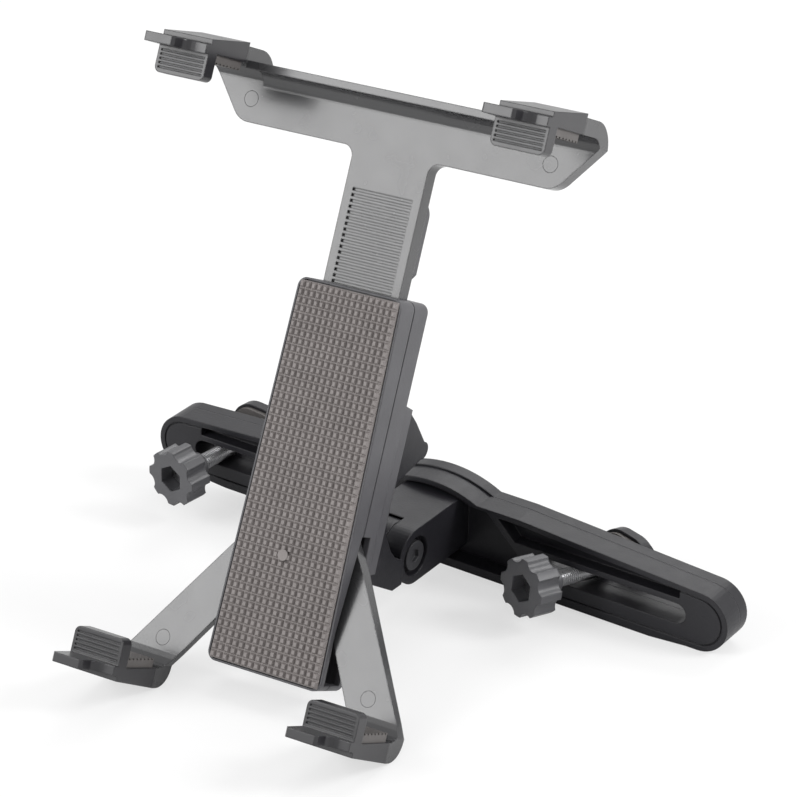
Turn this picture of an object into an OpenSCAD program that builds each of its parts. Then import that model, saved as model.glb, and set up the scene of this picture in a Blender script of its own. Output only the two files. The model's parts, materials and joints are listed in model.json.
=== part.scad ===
// Headrest tablet holder: a clamp bar with a tilting, swivelling holder.
// Millimetres. The holder is drawn in its own upright frame: x to the viewer's
// right, y to the rear, z up along the body, pad face at y = 0.
// The clamp bar is drawn in its own frame: front face at y = 0, underside at z = 0.

/* [Stance] */
// Lean of the body back from upright, degrees
lean = 26.85; // [20:0.05:32]
// Turn of the holder on its swivel, degrees
swivel = 2.83; // [0:0.01:6]
// Angle of the bar on the bracket's hinge, degrees
tilt = 26.8; // [20:0.1:32]
// Holder's centre to the right of the origin
place_x = 0.54; // [-5:0.01:5]
// Holder's centre behind the origin
place_y = -19.27; // [-40:0.01:0]

/* [Holder body] */
// Width of the body at the top
body_w_top = 36.6; // [35:0.1:38]
// Width of the body at the foot
body_w_bottom = 40.8; // [39:0.1:42]
// Height of the body
body_h = 118.4; // [116:0.1:122]
// Corner radius of the body
body_corner = 3; // [1:0.5:4]
// Front face of the cover behind the pad's face
cover_face = 0.8; // [0.4:0.1:1.2]
// Depth of the seam at the top
seam_top = 8.6; // [8:0.1:9]
// Depth of the seam at the foot
seam_bottom = 5.8; // [5.5:0.1:6.2]
// Depth of the rear face at the top
rear_top = 17; // [16.8:0.1:17.6]
// Depth of the rear face at the foot
rear_bottom = 13.5; // [13.2:0.1:14]
// Wall of the shells
wall = 2; // [1.6:0.1:2.2]
// Rim of the cover round the pad
pad_inset = 0.6; // [0.5:0.1:1]
// Depth of the pocket for the pad
pad_floor = 2; // [1.6:0.1:2.2]
// Gap between the pad and its pocket
pad_gap = 0.2; // [0.1:0.05:0.4]

/* [Upper arm] */
// Width of the stem
stem_w = 26.8; // [26:0.1:27]
// Front face of the stem
stem_front = 6.5; // [6.3:0.1:6.7]
// Thickness of the stem and arm
stem_t = 5; // [4.6:0.1:5]
// Lower end of the stem, inside the body
stem_foot = 30; // [28:1:36]
// Lower edge of the arm
arm_low = 100.3; // [98:0.1:102]
// Top of the arm's ledge
arm_ledge_top = 118.3; // [117:0.1:119]
// Thickness of the ledge
arm_ledge_t = 2.3; // [2:0.1:2.6]
// Front edge of the ledge
arm_ledge_front = -5; // [-5.5:0.1:-3]
// Half the length of the arm's lower edge
arm_half_low = 55.5; // [52:0.5:58]
// Half the length of the arm
arm_half = 67.3; // [67:0.1:69]
// Height where the slanted ends meet the sides
arm_slant_top = 114.8; // [112:0.1:115]
// Radius of the arm's lower corners
arm_corner_r = 7; // [4:0.5:9]
// How far the arm's ends rise behind the jaws
arm_end_rise = 5.2; // [5:0.1:6]
// Radius over the back of the arm's ends
arm_end_r = 9.5; // [8:0.5:10]
// Grip ribs on the stem
rib_count = 17; // [8:1:18]
// Distance between ribs
rib_pitch = 1.75; // [1.5:0.05:1.9]
// Height of the lowest rib
rib_from = 59.4; // [59:0.1:62]
// Half the length of a rib
rib_half = 10.5; // [8:0.5:12]
// Depth between the ribs
rib_deep = 0.8; // [0.2:0.1:0.8]

/* [Legs] */
// Angle of each leg out from straight down, degrees
leg_angle = 32.5; // [31:0.1:34]
// Width of a leg
leg_w = 14; // [13:0.1:14.2]
// Front face of a leg inside the body
leg_front = 6.9; // [6.8:0.1:7.2]
// Thickness of a leg inside the body
leg_t = 4.2; // [3.8:0.1:4.2]
// Front face of a leg at its bend
leg_tip_front = 0.7; // [0.5:0.1:1.5]
// Thickness of a leg at its bend
leg_tip_t = 3; // [2.6:0.1:3.4]
// Height where a leg starts to lean forward
leg_bend_from = -22; // [-24:1:-22]
// Height of the bend above the shelf
leg_bend_to = -61; // [-61:0.5:-60]
// Radius of the curl at the foot
leg_end_r = 6.6; // [5.5:0.1:6.6]
// Distance of the pivots from the body's centre, towards each jaw
pivot_reach = 16.7; // [16:0.1:17.5]
// Diameter of the pivot pins
pin_d = 5; // [4:0.5:5]

/* [Jaws] */
// Width of a jaw
jaw_w = 17.8; // [17:0.1:18]
// Upper jaws from the middle
jaw_x_top = 58.4; // [57.5:0.1:59]
// Height of the upper jaws
jaw_z_top = 117.2; // [116.5:0.1:117.5]
// Lower jaws from the middle
jaw_x_low = 41.7; // [40:0.1:43]
// Height of the lower jaws
jaw_z_low = -65.5; // [-67:0.1:-65]
// Rear end of a jaw's shelf
shelf_back = -5.6; // [-6.5:0.1:-5]
// Front end of a jaw's shelf
shelf_front = -25.6; // [-26:0.1:-25]
// Front face of the lip
lip_front = -26.3; // [-27:0.1:-26]
// Thickness of the lip
lip_t = 4.5; // [4:0.1:5]
// Height of the lip
lip_h = 8.6; // [7:0.1:10]
// Underside of the shelf
shelf_under = 0.2; // [0.1:0.1:0.4]
// Outer face of the shelf at the rear
shelf_rise_back = 6.4; // [6.2:0.1:7]
// Outer face of the shelf at the front
shelf_rise_front = 4.3; // [4:0.1:5]
// Front end of the thumb tongue
tongue_front = -35.4; // [-38:0.1:-33]
// Thickness of the thumb tab
tab_t = 2.9; // [2.5:0.1:3.2]
// Thickness of the rubber liner
liner_t = 2.8; // [2:0.1:3.2]
// Width of the tenon that holds a jaw
tenon_w = 12; // [10:0.5:13]
// Thickness of the tenon
tenon_t = 3; // [2.5:0.1:3]
// Length of the tenon
tenon_l = 10; // [8:0.5:12]

/* [Release lever] */
// Depth of the lever's pin
lever_y = 13.6; // [13.5:0.1:13.7]
// Height of the lever's pin
lever_z = 47; // [46:0.5:48]
// Back of the lever
lever_back = 14.9; // [14.7:0.1:15]
// Half the width of the lever above the body
lever_half = 12.6; // [10:0.2:12.6]
// Radius of the lever's pin
lever_pin_r = 1; // [0.8:0.05:1]

/* [Swivel bracket] */
// Height of the swivel's axis
swivel_z = 2; // [0:0.5:4]
// Half the width of the mounting plate
plate_half_w = 18.5; // [17.5:0.1:18.5]
// Lower end of the mounting plate
plate_low = -24; // [-26:0.5:-22]
// Upper end of the mounting plate
plate_high = 28.5; // [26:0.5:30]
// Rear face of the mounting plate
plate_rear = 20.8; // [20.5:0.1:21]
// Radius of the swivel flange
flange_r = 16; // [14:0.5:17]
// Thickness of the swivel flange
flange_t = 3; // [2.6:0.1:3.2]
// Half the width of the bracket
cheek_half = 12; // [11:0.1:12.5]
// Diameter of the swivel screw
swivel_screw_d = 6; // [5:0.5:6]
// Hinge behind the pad's face
hinge_y = 60.4; // [60:0.1:61]
// Hinge above the pad's centre
hinge_z = -18.2; // [-19:0.1:-17.5]
// Radius of the hinge's knuckle
knuckle_r = 9.3; // [9:0.1:9.5]
// Half the width of the middle knuckle
knuckle_half = 2.5; // [2:0.1:3]
// Diameter of the hinge bolt
hinge_pin_d = 6; // [5:0.5:6]

/* [Clamp bar] */
// Half the length of the bar
bar_half = 107.5; // [106:0.5:112]
// Height of the bar's ends
bar_end_h = 20; // [19.5:0.1:20.5]
// Where the bar's shoulder ends
bar_shoulder_x = 32; // [30:0.5:34]
// Height of the bar's shoulder
bar_shoulder_z = 24; // [23.5:0.1:24.5]
// Depth of the front half
bar_shell_d = 8; // [7.5:0.1:9]
// Depth of the rear half
bar_back_d = 4.35; // [4:0.05:5]
// Wall of the bar's rim
rim_t = 1.8; // [1.5:0.1:2]
// Depth of the groove along each slot
groove_deep = 4.5; // [3:0.5:5]
// Radius of the hump in the middle
hump_r = 40; // [38:0.5:42]
// Top of the hump
hump_top = 27.7; // [27:0.1:28]
// How far the rear half stands above the hump
hump_back_extra = 0.6; // [0.3:0.1:1]
// Half the length of the bar's foot
foot_half = 80.7; // [70:0.1:90]
// Depth of the foot
foot_drop = 1; // [0.5:0.1:1.5]
// Depth of the recess round the neck
fan_deep = 6.4; // [5:0.1:6.6]
// Inner end of each slot
slot_from = 42; // [41:0.5:44]
// Outer end of each slot
slot_to = 89.5; // [88:0.5:91]
// Half the height of a slot
slot_r = 3.5; // [3.5:0.1:4.2]
// Height of the slots
slot_z = 10.3; // [10.2:0.1:10.6]
// Wall round each slot
island_t = 1.9; // [1.6:0.1:2.2]
// Half the width of the neck
neck_half = 10; // [9.5:0.1:10.5]
// Hinge in front of the bar
neck_pin_y = -23.7; // [-25:0.1:-23]
// Hinge above the bar's underside
neck_pin_z = 14.9; // [14.5:0.1:15.2]

/* [Clamps] */
// Diameter of the clamp bolts
clamp_bolt_d = 5; // [4:0.5:5]
// Right clamp along the bar
clamp_x_right = 52.5; // [48:0.5:80]
// Right clamp's slack to the side, degrees
clamp_yaw_right = 18; // [0:0.5:18]
// Right clamp's droop, degrees
clamp_pitch_right = 7; // [0:0.5:7]
// Left clamp along the bar
clamp_x_left = -85.1; // [-86:0.1:-50]
// Left clamp's slack to the side, degrees
clamp_yaw_left = 6.5; // [0:0.5:10]
// Left clamp's droop, degrees
clamp_pitch_left = 0; // [0:0.5:4]
// Radius of a knob
knob_r = 9.6; // [9:0.1:10.5]
// Front face of a knob
knob_front = -21; // [-22:0.1:-20]
// Length of a knob
knob_l = 10.5; // [9:0.1:11]
// Lobes of a knob
knob_lobes = 8; // [5:1:9]
// Gap between a knob and its collar
collar_gap = 0.05; // [0.05:0.05:0.3]
// Radius of the grooves between the lobes
knob_groove_r = 3; // [2:0.1:3.2]
// Width of the hexagon recess across its flats
knob_hex = 8; // [7:0.5:8]
// Depth of the hexagon recess
knob_hex_deep = 5; // [3:0.1:5]
// Radius of a puck
puck_r = 9.5; // [8.5:0.1:9.5]
// Half of how much wider than high a puck is
puck_wide = 2.4; // [1:0.1:2.4]
// Front of a puck's rubber face
puck_front = 20; // [19.5:0.5:26]
// Thickness of a puck
puck_t = 7; // [6:0.5:8]
// Thickness of the rubber face
puck_rubber_t = 1.5; // [1:0.1:2]

/* [Fits] */
// Flat running gap between moving bodies
gap = 0.3; // [0.2:0.05:0.3]
// Radial play of a turning bore on its pin
play = 0.05; // [0.02:0.01:0.08]
// Room round the tenons in the jaws
tenon_gap = 0.15; // [0.05:0.05:0.2]

/* [Hidden] */
$fn = 48;
e = 0.01;

dark = [0.30, 0.30, 0.33];
gloss = [0.42, 0.42, 0.45];
rubber = [0.50, 0.46, 0.43];
black = [0.20, 0.20, 0.21];
steel = [0.72, 0.73, 0.75];

// centre of the curl at the foot of each leg, which the holder stands on
curl_y = leg_tip_front + leg_tip_t - 1.2 - leg_end_r;
curl_z = jaw_z_low - shelf_rise_back + leg_end_r;
holder_z = leg_end_r - curl_z * cos(lean) + curl_y * sin(lean);

// pivots of the legs lie on lines that run from the body's centre to each lower jaw
pivot_x = pivot_reach * sin(leg_angle);
pivot_z = -pivot_reach * cos(leg_angle);

function slope_y(y_top, y_bottom, z) = y_bottom + (y_top - y_bottom) * (z + body_h / 2) / body_h;

// frames

module in_holder() {
    translate([place_x, place_y, holder_z]) rotate([-lean, 0, 0]) children();
}

module in_swivel() {
    in_holder() translate([0, 0, swivel_z]) rotate([0, swivel, 0]) translate([0, 0, -swivel_z]) children();
}

module in_bar() {
    in_swivel() translate([0, hinge_y, hinge_z]) rotate([tilt, 0, 0])
        translate([0, -neck_pin_y, -neck_pin_z]) children();
}

// the bolt rests on the lower edge of the slot, front and rear
function bolt_z(pitch) = slot_z - slot_r + gap + clamp_bolt_d / 2 / cos(pitch)
    + (bar_shell_d + bar_back_d) * tan(pitch);

module at_clamp(x, yaw, pitch) {
    in_bar() translate([x, 0, bolt_z(pitch)]) rotate([-pitch, 0, -yaw]) children();
}

module at_left_clamp() { at_clamp(clamp_x_left, clamp_yaw_left, clamp_pitch_left) children(); }
module at_right_clamp() { at_clamp(clamp_x_right, clamp_yaw_right, clamp_pitch_right) children(); }

// extrude a drawing made in x and z along y
module along_y(y0, y1) {
    translate([0, y1, 0]) rotate([90, 0, 0]) linear_extrude(y1 - y0) children();
}

// extrude a drawing made in y and z along x
module along_x(x0, x1) {
    translate([x0, 0, 0]) rotate([90, 0, 90]) linear_extrude(x1 - x0) children();
}

module rod_y(r, y0, y1) { translate([0, y1, 0]) rotate([90, 0, 0]) cylinder(r = r, h = y1 - y0); }
module rod_x(r, x0, x1) { translate([x0, 0, 0]) rotate([0, 90, 0]) cylinder(r = r, h = x1 - x0); }

module box(x0, x1, y0, y1, z0, z1) { translate([x0, y0, z0]) cube([x1 - x0, y1 - y0, z1 - z0]); }

// body outline, wider at the foot, drawn t inside the outer edge
module body_outline(t) {
    r = max(body_corner - t, 0.8);
    a = body_w_top / 2 - t;
    b = body_w_bottom / 2 - t;
    h = body_h / 2 - t;
    polygon([[-a + r, h], [a - r, h], [a, h - r], [b, -h + r], [b - r, -h], [-b + r, -h], [-b, -h + r], [-a, h - r]]);
    for (s = [-1, 1]) {
        translate([s * (a - r), h - r]) circle(r);
        translate([s * (b - r), -h + r]) circle(r);
    }
}

// slab of the body between two sloping planes given at its top and foot
module body_slab(front_t, front_b, back_t, back_b) {
    h = body_h / 2 + 1;
    polygon([[slope_y(front_t, front_b, h), h], [slope_y(back_t, back_b, h), h],
        [slope_y(back_t, back_b, -h), -h], [slope_y(front_t, front_b, -h), -h]]);
}

module leg_slots() {
    // the front of each slot follows the slope of the leg's face
    top = -11.8;
    bend = -41;
    for (s = [-1, 1])
        along_x(s < 0 ? -30 : pivot_x, s < 0 ? -pivot_x : 30)
            polygon([[leg_front - gap - 0.2, top], [pad_floor + 0.6, bend], [pad_floor + 0.6, -57],
                [leg_front + leg_t + gap, -57], [leg_front + leg_t + gap, top]]);
}

module stem_slot() {
    box(-stem_w / 2 - gap, stem_w / 2 + gap, stem_front - gap, stem_front + stem_t + gap, body_h / 2 - 5, body_h / 2 + 5);
}

screw_spots = [[-16, 36], [16, 36], [-7, -53], [7, -53]];

module at_screws() { for (p = screw_spots) translate([p[0], 0, p[1]]) children(); }
module at_pivots() { for (s = [-1, 1]) translate([s * pivot_x, 0, pivot_z]) children(); }

pad_back = pad_floor;
cover_in = pad_floor + wall - 0.4;

module pad_outline(t) { body_outline(pad_inset + t); }

module grip_pad() {
    color(rubber) in_holder() along_y(0, pad_back) pad_outline(pad_gap);
}

module front_cover() {
    color(dark) in_holder() difference() {
        union() {
            intersection() {
                difference() {
                    along_y(cover_face, seam_top + 1) body_outline(0);
                    along_y(cover_in, seam_top + 2) body_outline(wall);
                }
                along_x(-30, 30) body_slab(0, 0, seam_top, seam_bottom);
            }
            // seats of the leg pins, a rest for the stem and posts for the screws
            at_pivots() rod_y(6, cover_in - e, leg_front - gap);
            for (s = [-1, 1])
                box(s * 9 - 2, s * 9 + 2, cover_in - e, stem_front - gap, stem_foot + 4, body_h / 2 - wall);
            for (p = screw_spots) translate([p[0], 0, p[1]]) rod_y(2.3, cover_in - e, slope_y(seam_top, seam_bottom, p[1]));
        }
        along_y(-1, pad_back) pad_outline(0);
        at_pivots() rod_y(pin_d / 2, cover_in + 0.4, 20);
        at_screws() rod_y(1.2, cover_in + 0.4, 20);
        leg_slots();
        stem_slot();
    }
}

module rear_shell() {
    color(dark) in_holder() difference() {
        union() {
            intersection() {
                difference() {
                    along_y(seam_bottom - 1, rear_top + 1) body_outline(0);
                    intersection() {
                        along_y(0, rear_top) body_outline(wall);
                        along_x(-30, 30) body_slab(-2, -2, rear_top - wall, rear_bottom - wall);
                    }
                }
                along_x(-30, 30) body_slab(seam_top, seam_bottom, rear_top, rear_bottom);
            }
            at_pivots() rod_y(6, leg_front + leg_t + gap, slope_y(rear_top, rear_bottom, pivot_z) - 1);
            for (p = screw_spots) translate([p[0], 0, p[1]]) rod_y(2.3, slope_y(seam_top, seam_bottom, p[1]), 13);
            // runners beside and behind the stem
            for (s = [-1, 1]) {
                box(s < 0 ? -stem_w / 2 - gap - 1.4 : stem_w / 2 + gap, s < 0 ? -stem_w / 2 - gap : stem_w / 2 + gap + 1.4,
                    seam_top, 15.5, stem_foot + 2, body_h / 2 - wall);
                box(s * 10 - 1.5, s * 10 + 1.5, stem_front + stem_t + gap, 15.5, stem_foot + 2, body_h / 2 - wall);
            }
            // ears of the lever pin
            for (s = [-1, 1]) box(s * 7 - 1, s * 7 + 1, 12, 15.8, lever_z - 2.4, lever_z + 2.4);
        }
        at_pivots() rod_y(pin_d / 2, 4, slope_y(rear_top, rear_bottom, pivot_z) - 1.6);
        at_screws() { rod_y(1.6, 0, 30); rod_y(2.2, slope_y(rear_top, rear_bottom, 0) - 3.4, 30); }
        translate([0, lever_y, lever_z]) rod_x(lever_pin_r, -8.5, 8.5);
        translate([0, 0, swivel_z]) rod_y(swivel_screw_d / 2 + play, 4, 30);
        // shadow line behind the seam
        intersection() {
            difference() {
                along_y(0, 20) body_outline(-1);
                along_y(-1, 21) body_outline(0.4);
            }
            along_x(-30, 30) body_slab(seam_top, seam_bottom, seam_top + 0.5, seam_bottom + 0.5);
        }
        leg_slots();
        stem_slot();
        // room for the lever to swing back
        box(-5.8, 5.8, 11, lever_back + 0.95, lever_z - 10, body_h / 2);
        box(-9.5, 9.5, 11, rear_top + 2, body_h / 2 - 7, body_h / 2 + 5);
    }
}

module shell_screws() {
    color(steel) in_holder() for (p = screw_spots) translate([p[0], 0, p[1]]) {
        head = slope_y(rear_top, rear_bottom, 0) - 3.4;
        rod_y(1.15, 4.6, head + e);
        difference() {
            rod_y(2, head, head + 1.5);
            box(-0.35, 0.35, head + 0.8, head + 4, -1.3, 1.3);
            box(-1.3, 1.3, head + 0.8, head + 4, -0.35, 0.35);
        }
    }
}

module mount_plate() {
    color(dark) in_holder() difference() {
        along_x(-plate_half_w, plate_half_w)
            polygon([[slope_y(rear_top, rear_bottom, plate_high), plate_high], [plate_rear, plate_high - 1],
                [plate_rear, plate_low + 1], [slope_y(rear_top, rear_bottom, plate_low), plate_low]]);
        translate([0, 0, swivel_z]) rod_y(swivel_screw_d / 2 + play, 0, 40);
        at_screws() rod_y(3, 0, 40);
    }
}

module leg_pins() {
    color(steel) in_holder() at_pivots()
        rod_y(pin_d / 2 - play, cover_in + 0.4, slope_y(rear_top, rear_bottom, pivot_z) - 1.6);
}

// upper arm

module arm_outline() {
    // each lower corner is an arc that meets the lower edge and the slant
    a = atan2(arm_slant_top - arm_low, arm_half - arm_half_low);
    x = arm_half_low - arm_corner_r * tan(a / 2);
    arc = [for (i = [0 : 6]) [x + arm_corner_r * sin(a * i / 6), arm_low + arm_corner_r * (1 - cos(a * i / 6))]];
    polygon(concat(arc, [[arm_half, arm_slant_top], [arm_half, jaw_z_top + 12.8], [-arm_half, jaw_z_top + 12.8], [-arm_half, arm_slant_top]],
        [for (i = [6 : -1 : 0]) [-arc[i][0], arc[i][1]]]));
}

module fillet_corner(r) { difference() { square(r); translate([r, r]) circle(r); } }

module arm_mid_profile() {
    back = stem_front + stem_t;
    under = arm_ledge_top - arm_ledge_t;
    r = 4.6;
    difference() {
        translate([arm_ledge_front, arm_low]) square([back - arm_ledge_front, arm_ledge_top - arm_low]);
        translate([arm_ledge_front - 1, arm_low - 1]) square([stem_front - r - arm_ledge_front + 1, under - arm_low + 1]);
        translate([stem_front - r - e, arm_low - 1]) square([r + e, under - r - arm_low + 1]);
        translate([stem_front - r, under - r]) circle(r);
        translate([back - 2.5, arm_ledge_top - 2.5]) difference() { square(3); circle(2.5); }
    }
}

module arm_end_profile() {
    back = stem_front + stem_t;
    top = jaw_z_top + arm_end_rise;
    under = jaw_z_top + shelf_under;
    r = 4.6;
    difference() {
        union() {
            translate([shelf_back, arm_low]) square([back - arm_end_r - shelf_back, top - arm_low]);
            translate([back - arm_end_r, arm_low]) square([arm_end_r, top - arm_end_r - arm_low]);
            translate([back - arm_end_r, top - arm_end_r]) intersection() {
                circle(arm_end_r);
                square(arm_end_r);
            }
        }
        translate([shelf_back - 12, arm_low - 1]) square([stem_front - r - shelf_back + 12, under - arm_low + 1]);
        translate([stem_front - r - e, arm_low - 1]) square([r + e, under - r - arm_low + 1]);
        translate([stem_front - r, under - r]) circle(r);
    }
}

module upper_arm() {
    back = stem_front + stem_t;
    mid = jaw_x_top - jaw_w / 2;
    color(gloss) in_holder() difference() {
        union() {
            box(-stem_w / 2, stem_w / 2, stem_front, back, stem_foot, arm_low + 4);
            for (s = [-1, 1]) translate([s * stem_w / 2, 0, arm_low]) mirror([s < 0 ? 1 : 0, 0, 0])
                along_y(stem_front, back) mirror([0, 1]) fillet_corner(3.5);
            intersection() {
                along_y(-30, 30) arm_outline();
                union() {
                    along_x(-mid - e, mid + e) arm_mid_profile();
                    for (s = [-1, 1]) along_x(s < 0 ? -arm_half : mid, s < 0 ? -mid : arm_half) arm_end_profile();
                }
            }
            for (s = [-1, 1])
                box(s * jaw_x_top - tenon_w / 2, s * jaw_x_top + tenon_w / 2, shelf_back - tenon_l, shelf_back + 1,
                    jaw_z_top + 1.3, jaw_z_top + 1.3 + tenon_t);
        }
        for (i = [0 : rib_count - 1])
            box(-rib_half, rib_half, stem_front - 1, stem_front + rib_deep, rib_from + i * rib_pitch,
                rib_from + i * rib_pitch + rib_pitch / 2);
        // ratchet notches at the back, under the lever's nose
        for (i = [0 : 6]) box(-4, 4, back - 0.6, back + 1, 50 + i * 3.5, 51.8 + i * 3.5);
    }
}

// jaws; z counts outward from the root of the lip

module jaw_outline() {
    r = 2;
    top = shelf_rise_back + 1;
    translate([-jaw_w / 2, -lip_h + r]) square([jaw_w, top + lip_h - r]);
    translate([-jaw_w / 2 + r, -lip_h]) square([jaw_w - 2 * r, r + e]);
    for (s = [-1, 1]) translate([s * (jaw_w / 2 - r), -lip_h + r]) circle(r);
}

module jaw() {
    h = jaw_w / 2;
    difference() {
        union() {
            intersection() {
                along_x(-h, h) polygon([[shelf_back, shelf_under], [shelf_back, shelf_rise_back],
                    [shelf_front, shelf_rise_front], [shelf_front, tab_t - 0.1], [lip_front, tab_t - 0.1],
                    [lip_front, -lip_h], [lip_front + lip_t, -lip_h], [lip_front + lip_t, shelf_under]]);
                along_y(-60, 0) jaw_outline();
            }
            // thumb tab: a tongue on its left half, a step on its right half
            translate([0, 0, -0.4]) linear_extrude(tab_t)
                polygon([[-h, lip_front + e], [-h, tongue_front + 0.7], [-h + 0.7, tongue_front], [1, tongue_front],
                    [1.8, tongue_front + 0.9], [2, lip_front - 4.4], [2.6, lip_front - 3.2], [3.7, lip_front - 2.4],
                    [5.2, lip_front - 2], [h, lip_front - 1.9], [h, lip_front + e]]);
        }
        for (i = [0 : 4]) box(-h + 1, h - 1, lip_front - 1, lip_front + 0.45, -2 - i * 1.3, -1.45 - i * 1.3);
        box(-tenon_w / 2 - tenon_gap, tenon_w / 2 + tenon_gap, shelf_back - tenon_l - 0.5, shelf_back + 1,
            1.3 - tenon_gap, 1.3 + tenon_t + tenon_gap);
    }
}

module liner() {
    h = jaw_w / 2;
    difference() {
        box(-h + 0.7, h - 0.7, lip_front + lip_t + 0.4, shelf_back - 1.4, shelf_under - liner_t, shelf_under);
        for (i = [0 : 6]) box(-h, h, -20.4 + i * 2, -19.6 + i * 2, shelf_under - liner_t - 1, shelf_under - liner_t + 0.5);
    }
}

module jaw_at(x, z, low) {
    in_holder() translate([x, 0, z]) mirror([0, 0, low ? 1 : 0]) children();
}

module jaw_top_left() { color(gloss) jaw_at(-jaw_x_top, jaw_z_top, false) jaw(); }
module jaw_top_right() { color(gloss) jaw_at(jaw_x_top, jaw_z_top, false) jaw(); }
module jaw_low_left() { color(gloss) jaw_at(-jaw_x_low, jaw_z_low, true) jaw(); }
module jaw_low_right() { color(gloss) jaw_at(jaw_x_low, jaw_z_low, true) jaw(); }
module liner_top_left() { color(rubber) jaw_at(-jaw_x_top, jaw_z_top, false) liner(); }
module liner_top_right() { color(rubber) jaw_at(jaw_x_top, jaw_z_top, false) liner(); }
module liner_low_left() { color(rubber) jaw_at(-jaw_x_low, jaw_z_low, true) liner(); }
module liner_low_right() { color(rubber) jaw_at(jaw_x_low, jaw_z_low, true) liner(); }

// legs

module leg_outline() {
    c = cos(leg_angle);
    s = sin(leg_angle);
    h = leg_w / 2;
    // the sides start just inside the round head
    n = h - 0.3;
    translate([pivot_x, pivot_z]) circle(h);
    polygon([[pivot_x + n * c, pivot_z + n * s], [jaw_x_low + jaw_w / 2, jaw_z_low + 0.6],
        [jaw_x_low + jaw_w / 2, -90], [jaw_x_low - jaw_w / 2, -90], [jaw_x_low - jaw_w / 2, jaw_z_low + 0.6],
        [pivot_x - n * c, pivot_z - n * s]]);
}

// side view of a leg: flat in the body, leaning forward below it, then a curl into the shelf
module leg_profile() {
    low = jaw_z_low - shelf_rise_back;
    inner = jaw_z_low - shelf_under;
    tip_back = leg_tip_front + leg_tip_t;
    polygon([[leg_front, 5], [leg_front, leg_bend_from], [leg_tip_front, leg_bend_to], [leg_tip_front - 0.7, inner + 3],
        [leg_tip_front - 1.8, inner + 1.2], [leg_tip_front - 3.2, inner + 0.4], [leg_tip_front - 5, inner], [shelf_back, inner], [shelf_back, low],
        [curl_y, low], [tip_back - 1.2, curl_z], [tip_back, leg_bend_to], [leg_front + leg_t, leg_bend_from],
        [leg_front + leg_t, 5]]);
    translate([curl_y, curl_z]) intersection() {
        circle(leg_end_r);
        translate([0, -leg_end_r]) square(leg_end_r);
    }
}

module leg_right_body() {
    difference() {
        union() {
            intersection() {
                along_y(-30, 30) leg_outline();
                along_x(0, 60) leg_profile();
            }
            box(jaw_x_low - tenon_w / 2, jaw_x_low + tenon_w / 2, shelf_back - tenon_l, shelf_back + 1,
                jaw_z_low - 1.3 - tenon_t, jaw_z_low - 1.3);
        }
        translate([pivot_x, 0, pivot_z]) rod_y(pin_d / 2, 0, 20);
    }
}

module leg_right() { color(gloss) in_holder() leg_right_body(); }
module leg_left() { color(gloss) in_holder() mirror([1, 0, 0]) leg_right_body(); }

// release lever behind the stem

module release_lever() {
    front = stem_front + stem_t + gap;
    color(dark) in_holder() difference() {
        union() {
            box(-5.5, 5.5, front + 0.5, lever_back, lever_z - 3, 58);
            box(-5.5, 5.5, lever_back - 1.7, lever_back, lever_z - 7, lever_z - 2);
            along_y(front + 0.5, lever_back) {
                polygon([[-5.5, 55], [5.5, 55], [8.2, 61], [lever_half, 67], [lever_half, 84], [-lever_half, 84],
                    [-lever_half, 67], [-8.2, 61]]);
                for (s = [-1, 1]) translate([s * (lever_half - 6), 84]) circle(6);
                translate([6 - lever_half, 80]) square([2 * lever_half - 12, 10]);
            }
            // nose that stops just short of the notches
            box(-3.5, 3.5, front - 0.1, front + 1, 53.9, 55.2);
            translate([0, lever_y, lever_z]) rod_x(lever_back - lever_y + 0.1, -5.5, 5.5);
        }
        translate([0, lever_y, lever_z]) rod_x(lever_pin_r, -10, 10);
        along_y(13.6, 20) { translate([-6.5, 66]) square([13, 14]); translate([0, 80]) circle(6.5); }
    }
}

module lever_pin() { color(steel) in_holder() translate([0, lever_y, lever_z]) rod_x(lever_pin_r - play, -8.2, 8.2); }

module lever_leaf() {
    color(steel) in_holder() {
        box(-3, 3, 11.9, 12.2, lever_z - 18, lever_z - 5);
        box(-3, 3, 11.9, slope_y(rear_top, rear_bottom, lever_z - 18) - wall, lever_z - 18, lever_z - 17.2);
    }
}

// swivel bracket

module tilt_bracket() {
    back = plate_rear + gap + flange_t;
    cup = knuckle_r + 0.9;
    color(dark) in_swivel() difference() {
        union() {
            translate([0, 0, swivel_z]) rod_y(flange_r, plate_rear + gap, back);
            difference() {
                along_x(-cheek_half, cheek_half) {
                    polygon([[back - e, 25.5], [29, 27], [31.2, 25.6], [34.5, 23.8], [42.6, 18.2], [43.2, 12.6], [40.6, 10.6],
                        [33.6, 5.4], [31.4, 1.5], [31.5, -4.4], [35.3, -12.1], [40.5, -16.7], [45, -19.1], [50.6, -19.4],
                        [52.6, -27], [48, -29.2], [30, -27], [back - e, -24]]);
                    translate([43.2, 15.4]) circle(2.8);
                }
                translate([0, hinge_y, hinge_z]) rod_x(cup, -30, 30);
            }
            along_x(-knuckle_half, knuckle_half) {
                polygon([[40, -17], [hinge_y, hinge_z + 4], [hinge_y, hinge_z - knuckle_r], [44, -29]]);
                translate([hinge_y, hinge_z]) circle(knuckle_r);
            }
        }
        translate([0, hinge_y, hinge_z]) rod_x(hinge_pin_d / 2, -40, 40);
        translate([0, 0, swivel_z]) { rod_y(swivel_screw_d / 2, 0, 60); rod_y(6.6, back, 60); }
    }
}

module swivel_screw() {
    back = plate_rear + gap + flange_t;
    color(steel) in_holder() translate([0, 0, swivel_z]) difference() {
        union() {
            rod_y(swivel_screw_d / 2 - play, 12.2, back + 1.5);
            rod_y(4.8, back + gap + 0.8, back + 4);
        }
        translate([0, back + 5, 0]) rotate([90, 0, 0]) cylinder(r = 2.3, h = 3, $fn = 6);
    }
}

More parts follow.
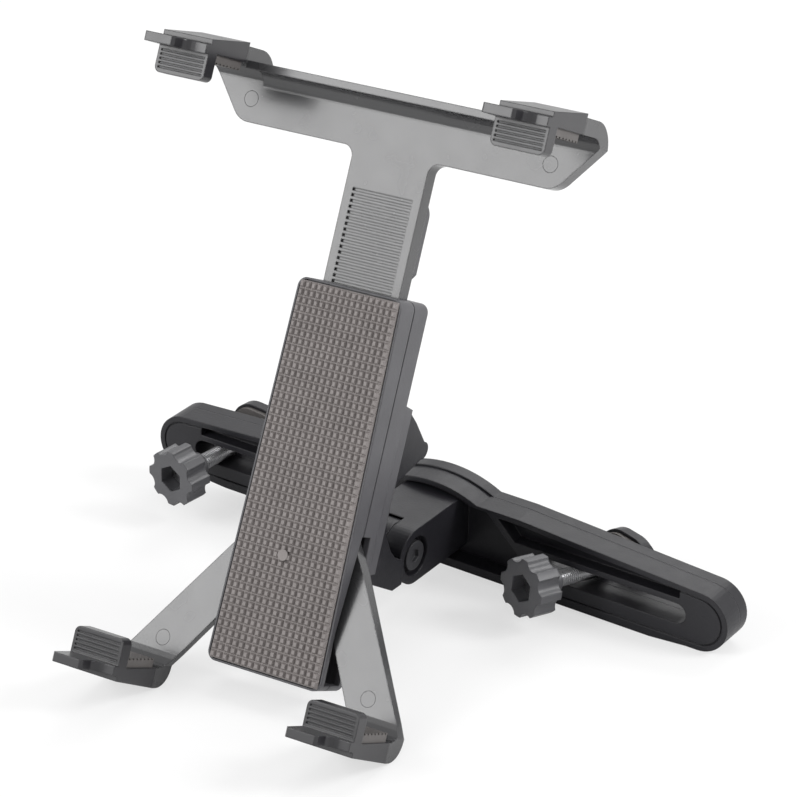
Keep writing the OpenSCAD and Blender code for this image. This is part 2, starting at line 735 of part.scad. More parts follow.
module swivel_washer() {
    back = plate_rear + gap + flange_t;
    color(steel) in_holder() translate([0, 0, swivel_z]) difference() {
        rod_y(6, back + gap, back + gap + 0.8);
        rod_y(swivel_screw_d / 2 - play + 0.02, 0, 60);
    }
}

// clamp bar

module bar_outline(t, hump_extra) {
    r = bar_end_h / 2 - t;
    x = bar_half - bar_end_h / 2;
    polygon([[-x, t], [x, t], [x, bar_end_h - t], [bar_shoulder_x, bar_shoulder_z - t],
        [-bar_shoulder_x, bar_shoulder_z - t], [-x, bar_end_h - t]]);
    for (s = [-1, 1]) translate([s * x, bar_end_h / 2]) circle(r);
    intersection() {
        translate([0, hump_top - hump_r]) circle(hump_r + hump_extra - t, $fn = 120);
        translate([-25, 5]) square([50, 40]);
    }
    if (t == 0) polygon([[-foot_half - 14, 0.1], [-foot_half, -foot_drop], [foot_half, -foot_drop], [foot_half + 14, 0.1], [0, 5]]);
}

module stadium(r) {
    translate([slot_from, slot_z - r]) square([slot_to - slot_from, 2 * r]);
    for (x = [slot_from, slot_to]) translate([x, slot_z]) circle(r);
}

module both_sides() { for (s = [0, 1]) mirror([s, 0, 0]) children(); }

module fan_outline() {
    polygon([[-29.5, 2], [29.5, 2], [32.5, 11.5], [20.6, 23], [-20.6, 23], [-32.5, 11.5]]);
    intersection() {
        translate([0, hump_top - hump_r]) circle(hump_r - rim_t, $fn = 120);
        translate([-20.6, 10]) square([41.2, 30]);
    }
}

module groove_outline() {
    // a wedge between the slot's wall and the bar's upper rim
    low = slot_z + slot_r + island_t;
    intersection() {
        bar_outline(rim_t, 0);
        polygon([[24.3, 22.5], [24.3 + 22.5 - low, low], [slot_to + 1, low], [slot_to + 1, 40], [24.3, 40]]);
    }
}

// fine line that sets the bar's rim off from its face
module rim_line() {
    difference() {
        bar_outline(rim_t, 0);
        bar_outline(rim_t + 0.6, 0);
        translate([-34, -5]) square([68, 50]);
    }
}

bar_screw_spots = [[100, 10.4], [-100, 10.4], [39.5, 20], [-39.5, 20]];

module bar_shell() {
    color(black) in_bar() difference() {
        union() {
            difference() {
                along_y(0, bar_shell_d) bar_outline(0, 0);
                along_y(-1, fan_deep) fan_outline();
            }
            difference() {
                union() {
                    box(-neck_half, neck_half, neck_pin_y, fan_deep + 1, neck_pin_z - knuckle_r, neck_pin_z + knuckle_r);
                    translate([0, neck_pin_y, neck_pin_z]) rod_x(knuckle_r, -neck_half, neck_half);
                }
                // room for the bracket's knuckle between the two ears
                translate([0, neck_pin_y, neck_pin_z]) rod_x(knuckle_r + 0.7, -knuckle_half - gap, knuckle_half + gap);
                box(-knuckle_half - gap, knuckle_half + gap, neck_pin_y - 20, neck_pin_y, 0, 30);
            }
        }
        both_sides() along_y(-1, groove_deep) groove_outline();
        along_y(-1, 0.5) rim_line();
        both_sides() along_y(-1, 20) stadium(slot_r);
        translate([0, neck_pin_y, neck_pin_z]) {
            rod_x(hinge_pin_d / 2 + play, -20, 20);
            rod_x(6.6, neck_half - 2.4, 20);
            rotate([0, -90, 0]) translate([0, 0, neck_half - 2.4]) cylinder(r = 5 / cos(30) + 0.15, h = 10, $fn = 6);
        }
        for (p = bar_screw_spots) translate([p[0], 0, p[1]]) rod_y(1.2, groove_deep + 0.8, 20);
    }
}

module bar_back() {
    color(black) in_bar() difference() {
        along_y(bar_shell_d, bar_shell_d + bar_back_d) bar_outline(0, hump_back_extra);
        both_sides() along_y(-1, 20) stadium(slot_r);
        for (p = bar_screw_spots) translate([p[0], 0, p[1]]) {
            rod_y(1.6, 0, 20);
            rod_y(2.7, bar_shell_d + bar_back_d - 1.6, 20);
        }
    }
}

module bar_screws() {
    back = bar_shell_d + bar_back_d;
    color(steel) in_bar() for (p = bar_screw_spots) translate([p[0], 0, p[1]]) {
        rod_y(1.15, groove_deep + 1, back - 1.6 + e);
        difference() {
            rod_y(2.5, back - 1.6, back - 0.2);
            box(-0.4, 0.4, back - 1, back + 1, -1.5, 1.5);
            box(-1.5, 1.5, back - 1, back + 1, -0.4, 0.4);
        }
    }
}

module tilt_bolt() {
    color(steel) in_bar() translate([0, neck_pin_y, neck_pin_z]) difference() {
        union() {
            rod_x(hinge_pin_d / 2 - play, -neck_half + 0.4, neck_half - 2.2);
            rod_x(4.8, neck_half - 2.4, neck_half - 0.3);
        }
        rotate([0, 90, 0]) translate([0, 0, neck_half - 1.5]) cylinder(r = 2.3, h = 3, $fn = 6);
    }
}

module tilt_nut() {
    color(steel) in_bar() translate([0, neck_pin_y, neck_pin_z]) rotate([0, -90, 0])
        translate([0, 0, neck_half - 2.4]) difference() {
            cylinder(r = 5 / cos(30), h = 1.9, $fn = 6);
            translate([0, 0, -1]) cylinder(r = hinge_pin_d / 2 - play + 0.02, h = 5);
        }
}

// clamps; y runs along the bolt, 0 at the bar's front face

module knob_outline() {
    difference() {
        circle(knob_r);
        for (i = [0 : knob_lobes - 1]) rotate((i + 0.5) * 360 / knob_lobes) translate([knob_r + knob_groove_r / 2, 0]) circle(knob_groove_r, $fn = 32);
    }
}

module knob() {
    back = knob_front + knob_l;
    difference() {
        union() {
            along_y(knob_front, back - 2) knob_outline();
            rod_y(6, back - 2 - e, back);
        }
        translate([0, knob_front + knob_hex_deep + 4, 0]) rotate([90, 30, 0])
            cylinder(r = knob_hex / 2 / cos(30) + 0.1, h = knob_hex_deep + 5, $fn = 6);
        rod_y(clamp_bolt_d / 2 + 0.02, knob_front, 10);
    }
}

module bolt() {
    head = knob_front + knob_hex_deep;
    union() {
        translate([0, head + 4, 0]) rotate([90, 30, 0]) cylinder(r = knob_hex / 2 / cos(30), h = 4, $fn = 6);
        rod_y(clamp_bolt_d / 2, head + 3, puck_front + puck_t + 2.5);
    }
}

module collar() {
    back = knob_front + knob_l;
    difference() {
        rod_y(4.2, back + collar_gap, back + 3);
        rod_y(clamp_bolt_d / 2 + 0.02, -30, 10);
    }
}

module puck_outline(r) {
    translate([-puck_wide, -r]) square([2 * puck_wide, 2 * r]);
    for (s = [-1, 1]) translate([s * puck_wide, 0]) circle(r);
}

module puck() {
    difference() {
        union() {
            along_y(puck_front + puck_rubber_t, puck_front + puck_t - 2) puck_outline(puck_r);
            along_y(puck_front + puck_t - 2 - e, puck_front + puck_t) puck_outline(puck_r - 2);
        }
        rod_y(clamp_bolt_d / 2 + play, 0, 60);
        translate([0, puck_front + puck_t + 1, 0]) rotate([90, 30, 0]) cylinder(r = 4 / cos(30) + 0.15, h = 3.4, $fn = 6);
    }
}

module puck_face() {
    difference() {
        along_y(puck_front, puck_front + puck_rubber_t) puck_outline(puck_r - 1);
        rod_y(clamp_bolt_d / 2 + gap, 0, 60);
    }
}

module puck_nut() {
    translate([0, puck_front + puck_t + 1, 0]) rotate([90, 30, 0]) difference() {
        cylinder(r = 4 / cos(30), h = 3.4, $fn = 6);
        translate([0, 0, -1]) cylinder(r = clamp_bolt_d / 2 + play, h = 6);
    }
}

module knob_left() { color(dark) at_left_clamp() knob(); }
module knob_right() { color(dark) at_right_clamp() knob(); }
module bolt_left() { color(steel) at_left_clamp() bolt(); }
module bolt_right() { color(steel) at_right_clamp() bolt(); }
module collar_left() { color(steel) at_left_clamp() collar(); }
module collar_right() { color(steel) at_right_clamp() collar(); }
module puck_left() { color(black) at_left_clamp() puck(); }
module puck_right() { color(black) at_right_clamp() puck(); }
module puck_face_left() { color(rubber) at_left_clamp() puck_face(); }
module puck_face_right() { color(rubber) at_right_clamp() puck_face(); }
module puck_nut_left() { color(steel) at_left_clamp() puck_nut(); }
module puck_nut_right() { color(steel) at_right_clamp() puck_nut(); }

grip_pad();
front_cover();
rear_shell();
shell_screws();
mount_plate();
leg_pins();
upper_arm();
jaw_top_left();
jaw_top_right();
liner_top_left();
liner_top_right();
leg_left();
leg_right();
jaw_low_left();
jaw_low_right();
liner_low_left();
liner_low_right();
release_lever();
lever_pin();
lever_leaf();
swivel_screw();
swivel_washer();
tilt_bracket();
tilt_bolt();
tilt_nut();
bar_shell();
bar_back();
bar_screws();
knob_left();
knob_right();
bolt_left();
bolt_right();
collar_left();
collar_right();
puck_left();
puck_right();
puck_face_left();
puck_face_right();
puck_nut_left();
puck_nut_right();
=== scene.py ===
"""Dresses the headrest tablet holder: its pad, plastics, clamp threads and pale studio."""

import json
import math

import bmesh
import bpy
from mathutils import Matrix, Quaternion, Vector


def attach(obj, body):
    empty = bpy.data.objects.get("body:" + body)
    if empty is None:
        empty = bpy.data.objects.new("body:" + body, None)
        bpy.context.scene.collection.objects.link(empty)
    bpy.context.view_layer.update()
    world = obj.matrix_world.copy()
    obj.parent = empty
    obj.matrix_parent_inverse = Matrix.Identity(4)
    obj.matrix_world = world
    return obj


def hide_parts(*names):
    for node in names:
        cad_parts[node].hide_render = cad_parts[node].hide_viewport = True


bl_info = {
    "name": "Headrest tablet holder",
    "version": (1, 0, 0),
    "blender": (4, 5, 0),
    "location": "3D View > Sidebar > Holder",
    "description": "Dresses a headrest tablet holder and its studio",
    "category": "Object",
}

MM = 0.001
IMAGE_PX = 797  # width of the picture
FOCAL_PX = 3559.55  # focal length of the fitted camera
SENSOR_MM = 36
BOLT_THREAD = {"pitch": 0.8, "core": 2.48, "crest": 2.72, "turns": 26, "start": -8.7}
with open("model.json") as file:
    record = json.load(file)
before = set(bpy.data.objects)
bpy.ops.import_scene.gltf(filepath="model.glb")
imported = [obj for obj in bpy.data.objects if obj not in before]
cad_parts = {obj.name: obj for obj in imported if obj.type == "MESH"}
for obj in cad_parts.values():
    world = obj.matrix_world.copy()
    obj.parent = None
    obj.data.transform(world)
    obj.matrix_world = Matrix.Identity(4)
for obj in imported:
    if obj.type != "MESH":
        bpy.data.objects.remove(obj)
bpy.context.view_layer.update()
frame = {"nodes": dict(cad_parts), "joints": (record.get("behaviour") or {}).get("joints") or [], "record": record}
record = frame["record"]
joints = {j["name"]: j for j in frame["joints"]}
mounts = {m["name"]: m for m in record["mounts"]}


def axes_frame(origin, x, y, z):
    """A matrix in metres whose columns are the three directions, at origin."""
    m = Matrix((x, y, z)).transposed().to_4x4()
    m.translation = origin
    return m


def shift(x, y, z):
    """A move in millimetres."""
    return Matrix.Translation((x * MM, y * MM, z * MM))


def holder_frame():
    """Pad centre, with x to the right, y to the rear and z up the body."""
    y = Vector(joints["swivel"]["axis"]).normalized()
    z = Vector(joints["arm_slide"]["axis"]).normalized()
    return axes_frame(Vector(mounts["tablet_rest"]["pos_m"]), y.cross(z), y, z)


def clamp_frame(side):
    """On a clamp's bolt in the plane of the bar's front face, with y along the bolt."""
    turn = joints[side + "_knob_turn"]
    y = Vector(turn["axis"]).normalized()
    up = Vector(mounts[side + "_post_clamp"]["axis"]).normalized()
    x = y.cross(up).normalized()
    return axes_frame(Vector(turn["pos_m"]), x, y, x.cross(y))


HOLDER = holder_frame()
CLAMPS = {side: clamp_frame(side) for side in ("left", "right")}


# settings a user would change


class HolderPadSettings(bpy.types.PropertyGroup):
    columns: bpy.props.IntProperty(
        name="Columns", description="Blocks across the pad", default=17, min=4, max=40
    )
    rows: bpy.props.IntProperty(
        name="Rows", description="Blocks up the pad", default=48, min=8, max=90
    )
    block: bpy.props.FloatProperty(
        name="Block height", description="How far a block stands up", default=0.0009, unit="LENGTH"
    )
    groove: bpy.props.FloatProperty(
        name="Groove", description="Half the gap between blocks", default=0.00016, unit="LENGTH"
    )


def colour(name, description, default):
    """A colour that a user can change."""
    return bpy.props.FloatVectorProperty(
        name=name, description=description, subtype="COLOR", default=default
    )


class HolderFinishSettings(bpy.types.PropertyGroup):
    arm: colour("Arms", "Polished arm and leg plastic", (0.038, 0.038, 0.040))
    jaw: colour("Jaws", "Polished jaw plastic", (0.018, 0.0175, 0.020))
    shell: colour("Shells", "Satin body shells", (0.062, 0.061, 0.067))
    bar: colour("Bar", "Satin bar, bracket and pucks", (0.013, 0.0127, 0.0155))
    knob: colour("Knobs", "Satin knobs and their collars", (0.06, 0.06, 0.065))
    rubber: colour("Rubber", "Rubber of the pad", (0.20, 0.18, 0.175))
    liner: colour("Liners", "Rubber liners of jaws and pucks", (0.09, 0.083, 0.08))
    black: colour("Black steel", "Hinge bolt and its nut", (0.03, 0.03, 0.033))
    steel: colour("Steel", "Bolts, pins and screws", (0.34, 0.34, 0.35))


# shader sockets as numbers


class Value:
    """A node's output that takes part in arithmetic."""

    def __init__(self, tree, socket):
        self.tree, self.socket = tree, socket

    def _math(self, operation, a, b):
        node = self.tree.nodes.new("ShaderNodeMath")
        node.operation = operation
        for i, v in enumerate((a, b)):
            if isinstance(v, Value):
                self.tree.links.new(v.socket, node.inputs[i])
            else:
                node.inputs[i].default_value = v
        return Value(self.tree, node.outputs[0])

    def __add__(self, other):
        return self._math("ADD", self, other)

    __radd__ = __add__

    def __mul__(self, other):
        return self._math("MULTIPLY", self, other)

    __rmul__ = __mul__


class Finish:
    """One material's nodes."""

    def __init__(self, name):
        self.material = bpy.data.materials.new(name)
        self.material.use_nodes = True
        self.tree = self.material.node_tree
        self.tree.nodes.clear()

    def node(self, kind, settings=None, output=0, **inputs):
        """Adds a node of a kind, sets it, fills its sockets and returns one output."""
        made = self.tree.nodes.new(kind)
        for key, value in (settings or {}).items():
            if key == "stops":
                ramp = made.color_ramp
                while len(ramp.elements) < len(value):
                    ramp.elements.new(0.5)
                for element, (place, colour) in zip(ramp.elements, value):
                    element.position, element.color = place, colour
            else:
                setattr(made, key, value)
        for key, value in inputs.items():
            name = key.replace("_", " ")
            socket = next(s for s in made.inputs if s.name == name and s.enabled)
            if isinstance(value, Value):
                self.tree.links.new(value.socket, socket)
            else:
                socket.default_value = value
        return Value(self.tree, made.outputs[output])

    def place(self):
        return self.node("ShaderNodeTexCoord", output=3)

    def noise(self, scale, detail=2.0):
        return self.node("ShaderNodeTexNoise", Vector=self.place(), Scale=scale, Detail=detail)

    def mottled(self, colour, spread, scale):
        """A colour that wanders a little lighter and darker."""
        dark = tuple(c * (1 - spread) for c in colour) + (1,)
        light = tuple(min(1, c * (1 + spread)) for c in colour) + (1,)
        return self.node(
            "ShaderNodeValToRGB", {"stops": [(0.32, dark), (0.68, light)]}, Fac=self.noise(scale)
        )

    def rounded(self, radius):
        """A normal that rounds edges off."""
        return self.node("ShaderNodeBevel", {"samples": 4}, Radius=radius)

    def bump(self, height, strength, distance, normal):
        return self.node(
            "ShaderNodeBump", Height=height, Strength=strength, Distance=distance, Normal=normal
        )

    def surface(self, **inputs):
        shader = self.node("ShaderNodeBsdfPrincipled", **inputs)
        self.output(shader)
        return self.material

    def output(self, shader):
        out = self.tree.nodes.new("ShaderNodeOutputMaterial")
        self.tree.links.new(shader.socket, out.inputs["Surface"])


FINISHES = {}


def polished_plastic(name, colour, roughness, radius, coat):
    """Moulded plastic with a soft gloss, faint flow marks and rounded edges."""
    f = Finish(name)
    ripple = f.noise(60, 1.0)
    return f.surface(
        Base_Color=f.mottled(colour, 0.05, 40),
        Roughness=f.noise(120) * 0.10 + (roughness - 0.05),
        Normal=f.bump(ripple, 0.12, 0.0006, f.rounded(radius)),
        Coat_Weight=coat,
        Coat_Roughness=0.12,
    )


def satin_plastic(name, colour, roughness, radius, grain, shine=0.5):
    """Spark-eroded satin plastic with a fine grain."""
    f = Finish(name)
    return f.surface(
        Base_Color=f.mottled(colour, 0.07, 90),
        Specular_IOR_Level=shine,
        Roughness=f.noise(200) * 0.14 + (roughness - 0.07),
        Normal=f.bump(f.noise(grain, 3.0), 0.20, 0.0002, f.rounded(radius)),
    )


def moulded_rubber(name, colour):
    """Matt rubber with a pale bloom in patches."""
    f = Finish(name)
    return f.surface(
        Base_Color=f.mottled(colour, 0.06, 160),
        Roughness=f.noise(300) * 0.2 + 0.5,
        Normal=f.bump(f.noise(2600, 2.0), 0.25, 0.0002, f.rounded(0.00018)),
    )


def plated_steel(name, colour):
    """Bright plated steel with fine turning marks."""
    f = Finish(name)
    return f.surface(
        Base_Color=f.mottled(colour, 0.08, 400),
        Metallic=1.0,
        Roughness=f.noise(900) * 0.15 + 0.22,
        Normal=f.bump(f.noise(1800, 2.0), 0.1, 0.0001, f.rounded(0.00015)),
    )


def make_finishes(settings):
    """Makes the finishes once."""
    if FINISHES:
        return
    FINISHES.update(
        arm=polished_plastic("arm plastic", settings.arm, 0.26, 0.0005, 0.2),
        jaw=polished_plastic("jaw plastic", settings.jaw, 0.30, 0.0005, 0.0),
        shell=satin_plastic("shell plastic", settings.shell, 0.42, 0.0007, 1500),
        bar=satin_plastic("bar plastic", settings.bar, 0.40, 0.0006, 1300, 0.3),
        knob=satin_plastic("knob plastic", settings.knob, 0.34, 0.0006, 1500),
        rubber=moulded_rubber("pad rubber", settings.rubber),
        liner=moulded_rubber("liner rubber", settings.liner),
        black=satin_plastic("black steel", settings.black, 0.36, 0.0003, 2200),
        steel=plated_steel("plated steel", settings.steel),
    )


def finish_nodes(context, finish, *names):
    """Gives CAD nodes their finish."""
    make_finishes(context.scene.holder_finish)
    for name in names:
        mesh = frame["nodes"][name].data
        for i in range(max(1, len(mesh.materials))):
            if i < len(mesh.materials):
                mesh.materials[i] = FINISHES[finish]
            else:
                mesh.materials.append(FINISHES[finish])
        for face in mesh.polygons:
            face.use_smooth = False


def add_piece(context, bm, name, matrix, body, finish, smooth=False):
    """Turns a bmesh in millimetres, drawn in a local frame, into a piece that rides on a body."""
    make_finishes(context.scene.holder_finish)
    bmesh.ops.transform(bm, matrix=matrix @ Matrix.Scale(MM, 4), verts=bm.verts)
    bmesh.ops.recalc_face_normals(bm, faces=bm.faces)
    mesh = bpy.data.meshes.new(name)
    bm.to_mesh(mesh)
    bm.free()
    mesh.materials.append(FINISHES[finish])
    for face in mesh.polygons:
        face.use_smooth = smooth
    piece = bpy.data.objects.new(name, mesh)
    context.scene.collection.objects.link(piece)
    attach(piece, body)
    return piece


# pieces


class HOLDER_OT_pad(bpy.types.Operator):
    """Builds the rubber pad with its rows of small blocks"""

    bl_idname = "holder.pad"
    bl_label = "Grip pad"

    def execute(self, context):
        sizes = context.scene.holder_pad
        # half widths at the top and bottom, the height, and how thick the sheet is
        top, bottom, height, thick = 17.35, 19.45, 116.5, 1.6
        slope, recess = 0.46, 0.68  # run of a block's sides, and how far back the pad sits
        bm = bmesh.new()
        bmesh.ops.create_grid(bm, x_segments=sizes.columns, y_segments=sizes.rows, size=0.5)
        for v in bm.verts:
            x, up = v.co.x * 2, v.co.y + 0.5
            v.co = Vector((x * (bottom + (top - bottom) * up), 0, (up - 0.5) * height))
        faces = bm.faces[:]
        for f in faces:
            if f.normal.y > 0:
                f.normal_flip()
        bm.normal_update()
        rim = [e for e in bm.edges if e.is_boundary]
        skirt = bmesh.ops.extrude_edge_only(bm, edges=rim)["geom"]
        deep = [g for g in skirt if isinstance(g, bmesh.types.BMVert)]
        bmesh.ops.translate(bm, vec=(0, thick, 0), verts=deep)
        back = [e for e in bm.edges if e.is_boundary]
        bmesh.ops.edgeloop_fill(bm, edges=back)
        groove, block = sizes.groove / MM, sizes.block / MM
        bmesh.ops.inset_individual(bm, faces=faces, thickness=groove, use_even_offset=True)
        bmesh.ops.inset_individual(
            bm, faces=faces, thickness=slope, depth=block, use_even_offset=True
        )
        # a flat round spot that stands just above the blocks
        spot_radius, spot_place = 1.75, (-1.8, -0.8, -22.7)
        upright = Matrix.Rotation(math.radians(90), 4, "X")
        bmesh.ops.create_cone(
            bm, cap_ends=True, segments=28, radius1=spot_radius, radius2=spot_radius, depth=0.5,
            matrix=Matrix.Translation(spot_place) @ upright,
        )
        pad = add_piece(
            context, bm, "pad_blocks", HOLDER @ shift(0, recess, 0), "holder", "rubber"
        )
        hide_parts("grip_pad")
        return {"FINISHED"}


class HOLDER_OT_body(bpy.types.Operator):
    """Finishes the body shells, the plate behind them and the release lever"""

    bl_idname = "holder.body"
    bl_label = "Body shells"

    def execute(self, context):
        finish_nodes(context, "shell", "front_cover", "rear_shell", "mount_plate", "release_lever")
        return {"FINISHED"}


class HOLDER_OT_arms(bpy.types.Operator):
    """Finishes the arm and legs, and marks them where the moulding pins pushed"""

    bl_idname = "holder.arms"
    bl_label = "Arm and legs"

    def execute(self, context):
        finish_nodes(context, "arm", "upper_arm", "leg_left", "leg_right")
        marks = [
            ("mark_arm_left", "upper_arm", 0, (-52.6, 6.5, 107.5)),
            ("mark_arm_right", "upper_arm", 0, (52.6, 6.5, 107.5)),
            ("mark_leg_left", "left_leg", -9.03, (-37.4, 1.31, -57.2)),
            ("mark_leg_right", "right_leg", -9.03, (36.5, 1.42, -56.5)),
        ]
        for name, body, lean, place in marks:
            bm = bmesh.new()
            # a low ridge that runs round the mark
            profile = ((2.3, 0.05), (2.45, -0.06), (2.6, 0.05))
            ring = [bm.verts.new((r, y, 0)) for r, y in profile]
            edges = [bm.edges.new((ring[i], ring[(i + 1) % 3])) for i in range(3)]
            bmesh.ops.spin(
                bm, geom=ring + edges, cent=(0, 0, 0), axis=(0, 1, 0), angle=math.tau, steps=32,
                use_merge=True,
            )
            turned = Matrix.Rotation(math.radians(lean), 4, "X")
            seat = HOLDER @ shift(*place) @ turned
            add_piece(context, bm, name, seat, body, "arm", True)
        return {"FINISHED"}


class HOLDER_OT_jaws(bpy.types.Operator):
    """Finishes the jaws and their rubber liners"""

    bl_idname = "holder.jaws"
    bl_label = "Jaws"

    def execute(self, context):
        ends = ("top_left", "top_right", "low_left", "low_right")
        finish_nodes(context, "jaw", *["jaw_" + e for e in ends])
        finish_nodes(context, "liner", *["liner_" + e for e in ends])
        return {"FINISHED"}


class HOLDER_OT_bracket(bpy.types.Operator):
    """Finishes the swivel bracket"""

    bl_idname = "holder.bracket"
    bl_label = "Swivel bracket"

    def execute(self, context):
        finish_nodes(context, "bar", "tilt_bracket")
        return {"FINISHED"}


class HOLDER_OT_bar(bpy.types.Operator):
    """Finishes the two halves of the clamp bar"""

    bl_idname = "holder.bar"
    bl_label = "Clamp bar"

    def execute(self, context):
        finish_nodes(context, "bar", "bar_shell", "bar_back")
        return {"FINISHED"}


class HOLDER_OT_clamps(bpy.types.Operator):
    """Finishes the knobs and pucks and cuts a thread on each bolt"""

    bl_idname = "holder.clamps"
    bl_label = "Clamps"

    def execute(self, context):
        finish_nodes(context, "knob", "knob_left", "knob_right", "collar_left", "collar_right")
        finish_nodes(context, "bar", "puck_left", "puck_right")
        finish_nodes(context, "liner", "puck_face_left", "puck_face_right")
        finish_nodes(
            context, "steel", "bolt_left", "bolt_right", "puck_nut_left", "puck_nut_right",
        )
        pitch, core, crest, turns, start = (
            BOLT_THREAD[k] for k in ("pitch", "core", "crest", "turns", "start")
        )
        steps, flank = 24, 0.3  # steps in a turn, and half the width of a thread's foot
        for side, matrix in CLAMPS.items():
            bm = bmesh.new()
            ring = [
                bm.verts.new((r, start + y, 0))
                for r, y in ((core, -flank), (crest, 0), (core, flank), (core - 0.2, 0))
            ]
            edges = [bm.edges.new((ring[i], ring[(i + 1) % 4])) for i in range(4)]
            bm.faces.new(ring)
            end = bmesh.ops.spin(
                bm, geom=ring + edges, cent=(0, 0, 0), axis=(0, 1, 0), dvec=(0, pitch / steps, 0),
                angle=math.tau * turns, steps=steps * turns,
            )["geom_last"]
            last = [g for g in end if isinstance(g, bmesh.types.BMEdge)]
            bmesh.ops.contextual_create(bm, geom=last)
            add_piece(context, bm, "thread_" + side, matrix, side + "_knob", "steel", True)
        return {"FINISHED"}


class HOLDER_OT_fasteners(bpy.types.Operator):
    """Finishes the screws, pins, spring and nuts"""

    bl_idname = "holder.fasteners"
    bl_label = "Fasteners"

    def execute(self, context):
        finish_nodes(
            context, "steel", "shell_screws", "leg_pins", "lever_pin", "lever_leaf", "swivel_screw",
            "swivel_washer", "bar_screws",
        )
        finish_nodes(context, "black", "tilt_bolt", "tilt_nut")
        return {"FINISHED"}


# studio


def light_box(context, name, place, aim, size, power):
    """A square soft light."""
    data = bpy.data.lights.new(name, "AREA")
    data.shape = "RECTANGLE"
    data.size, data.size_y = size
    data.energy = power
    lamp = bpy.data.objects.new(name, data)
    lamp.location = place
    lamp.rotation_mode = "QUATERNION"
    lamp.rotation_quaternion = (Vector(aim) - Vector(place)).to_track_quat("-Z", "Y")
    context.scene.collection.objects.link(lamp)


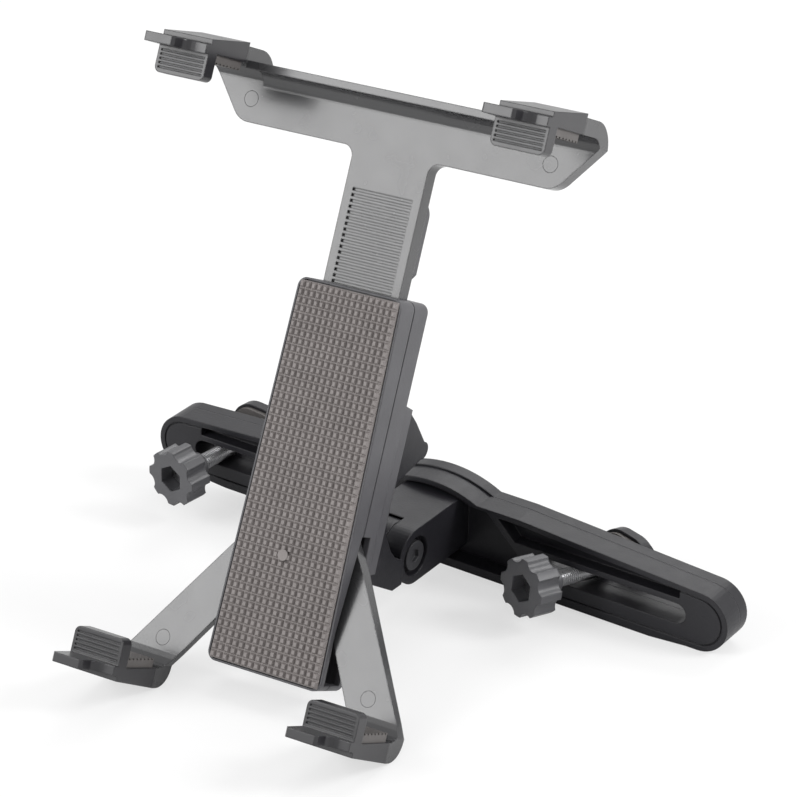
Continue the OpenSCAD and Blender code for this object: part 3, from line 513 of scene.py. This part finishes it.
class HOLDER_OT_stage(bpy.types.Operator):
    """Builds the floor, the lights and the camera"""

    bl_idname = "holder.stage"
    bl_label = "Studio"

    def execute(self, context):
        scene = context.scene
        scene.view_settings.view_transform = "Standard"

        f = Finish("white floor")
        seen = f.node("ShaderNodeLightPath", output=0)
        paper = f.node("ShaderNodeBsdfDiffuse", Color=(0.82, 0.82, 0.82, 1))
        glow = f.node("ShaderNodeEmission", Color=(1, 1, 1, 1), Strength=1.0)
        mixed = f.tree.nodes.new("ShaderNodeMixShader")
        glow_share = 0.62  # of what the camera sees of the floor
        f.tree.links.new((seen * glow_share).socket, mixed.inputs[0])
        f.tree.links.new(paper.socket, mixed.inputs[1])
        f.tree.links.new(glow.socket, mixed.inputs[2])
        f.output(Value(f.tree, mixed.outputs[0]))
        bm = bmesh.new()
        bmesh.ops.create_grid(bm, x_segments=1, y_segments=1, size=4.0)
        bmesh.ops.translate(bm, vec=(0, 0, -0.00005), verts=bm.verts)
        mesh = bpy.data.meshes.new("floor")
        bm.to_mesh(mesh)
        bm.free()
        mesh.materials.append(f.material)
        floor = bpy.data.objects.new("floor", mesh)
        scene.collection.objects.link(floor)

        room_light = 0.62
        world = bpy.data.worlds.new("studio")
        scene.world = world
        world.use_nodes = True
        tree = world.node_tree
        tree.nodes.clear()
        path = tree.nodes.new("ShaderNodeLightPath")
        room = tree.nodes.new("ShaderNodeBackground")
        room.inputs["Color"].default_value = (1, 1, 1, 1)
        room.inputs["Strength"].default_value = room_light
        white = tree.nodes.new("ShaderNodeBackground")
        white.inputs["Color"].default_value = (1, 1, 1, 1)
        white.inputs["Strength"].default_value = 1.0
        mix = tree.nodes.new("ShaderNodeMixShader")
        out = tree.nodes.new("ShaderNodeOutputWorld")
        seen = tree.nodes.new("ShaderNodeMath")
        seen.operation = "MAXIMUM"
        tree.links.new(path.outputs["Is Camera Ray"], seen.inputs[0])
        tree.links.new(path.outputs["Is Glossy Ray"], seen.inputs[1])
        tree.links.new(seen.outputs[0], mix.inputs[0])
        tree.links.new(room.outputs[0], mix.inputs[1])
        tree.links.new(white.outputs[0], mix.inputs[2])
        tree.links.new(mix.outputs[0], out.inputs["Surface"])

        light_box(context, "key", (-0.75, -1.05, 0.85), (0, 0, 0.08), (0.9, 0.7), 14)
        light_box(context, "side", (1.0, 0.35, 0.75), (0.05, 0, 0.05), (0.35, 0.5), 10)
        light_box(context, "rear", (-0.1, 1.0, 1.0), (0, 0.05, 0.05), (1.0, 0.4), 6)

        data = bpy.data.cameras.new("camera")
        data.sensor_width = SENSOR_MM
        data.lens = FOCAL_PX / IMAGE_PX * SENSOR_MM
        data.clip_start, data.clip_end = 0.05, 20
        camera = bpy.data.objects.new("camera", data)
        camera.rotation_mode = "QUATERNION"
        camera.location = (0.53729, -0.78639, 0.55112)
        camera.rotation_quaternion = Quaternion((0.816521, 0.504228, 0.157234, 0.233078))
        scene.collection.objects.link(camera)
        scene.camera = camera
        return {"FINISHED"}


class HOLDER_PT_panel(bpy.types.Panel):
    """Lists the pieces of the holder"""

    bl_label = "Tablet holder"
    bl_idname = "HOLDER_PT_panel"
    bl_space_type = "VIEW_3D"
    bl_region_type = "UI"
    bl_category = "Holder"

    def draw(self, context):
        for step in STEPS:
            self.layout.operator(step.bl_idname)
        for group in (context.scene.holder_pad, context.scene.holder_finish):
            for name in group.bl_rna.properties.keys():
                if name not in ("rna_type", "name"):
                    self.layout.prop(group, name)


STEPS = (
    HOLDER_OT_stage,
    HOLDER_OT_pad,
    HOLDER_OT_body,
    HOLDER_OT_arms,
    HOLDER_OT_jaws,
    HOLDER_OT_bracket,
    HOLDER_OT_bar,
    HOLDER_OT_clamps,
    HOLDER_OT_fasteners,
)
CLASSES = (HolderPadSettings, HolderFinishSettings) + STEPS + (HOLDER_PT_panel,)


def register():
    for cls in CLASSES:
        bpy.utils.register_class(cls)
    bpy.types.Scene.holder_pad = bpy.props.PointerProperty(type=HolderPadSettings)
    bpy.types.Scene.holder_finish = bpy.props.PointerProperty(type=HolderFinishSettings)


def unregister():
    del bpy.types.Scene.holder_finish
    del bpy.types.Scene.holder_pad
    for cls in reversed(CLASSES):
        bpy.utils.unregister_class(cls)


def main():
    register()
    bpy.ops.holder.stage()
    bpy.ops.holder.pad()
    bpy.ops.holder.body()
    bpy.ops.holder.arms()
    bpy.ops.holder.jaws()
    bpy.ops.holder.bracket()
    bpy.ops.holder.bar()
    bpy.ops.holder.clamps()
    bpy.ops.holder.fasteners()


if __name__ == "__main__":
    main()
